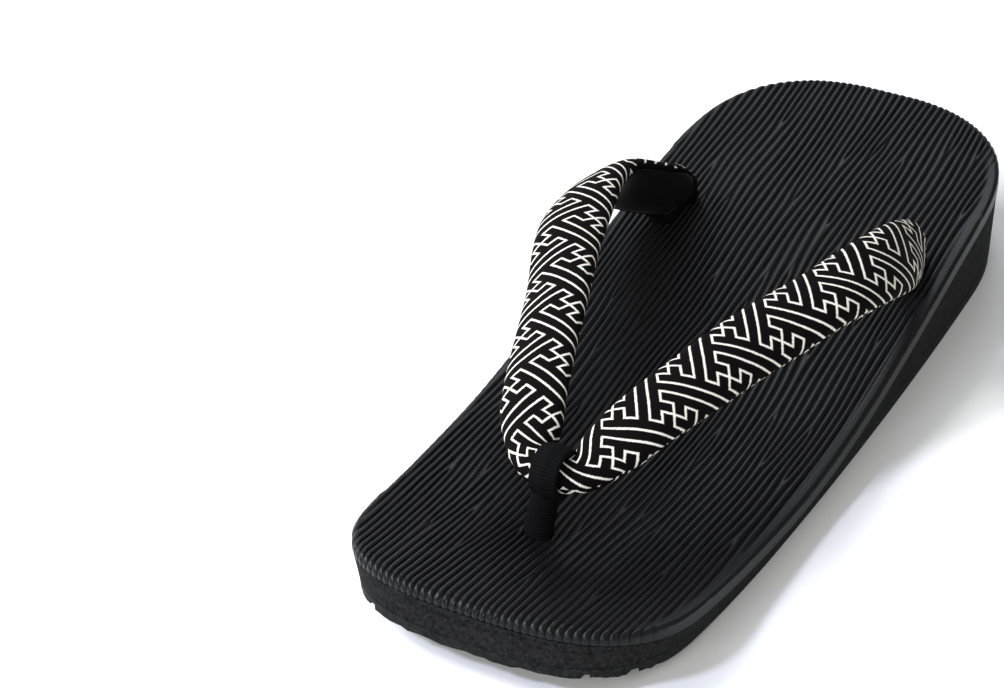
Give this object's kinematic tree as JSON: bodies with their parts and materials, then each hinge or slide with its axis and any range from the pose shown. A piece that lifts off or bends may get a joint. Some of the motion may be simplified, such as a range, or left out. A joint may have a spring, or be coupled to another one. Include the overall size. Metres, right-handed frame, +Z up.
{
  "type": "setta sandal",
  "caption": "Black flat-topped sandal with a ribbed footbed, a wedge foam sole, a stuffed fret-patterned thong strap and a ribbed front loop.",
  "frame": {"origin": "on the ground, under the middle of the sole", "axes": "+X across the sandal to the wearer's right, +Y along it towards the heel, with the toe at -Y, and +Z up"},
  "size_m": [0.1098, 0.2715, 0.0553],
  "materials": {
    "footbed_foam": "satin, with raised ribs along the foot",
    "sole_foam": "matt, finely sanded foam",
    "tread_rubber": "matt rubber",
    "strap_cloth": "woven cloth with a cream key fret on a black-brown ground",
    "lining_velvet": "black velvet",
    "loop_cloth": "fine-ribbed black cloth"
  },
  "bodies": {
    "root": {"footbed": "footbed_foam", "midsole": "sole_foam", "outsole": "tread_rubber", "strap": "strap_cloth", "strap_lining": "lining_velvet", "front_loop": "loop_cloth"}
  },
  "joints": []
}
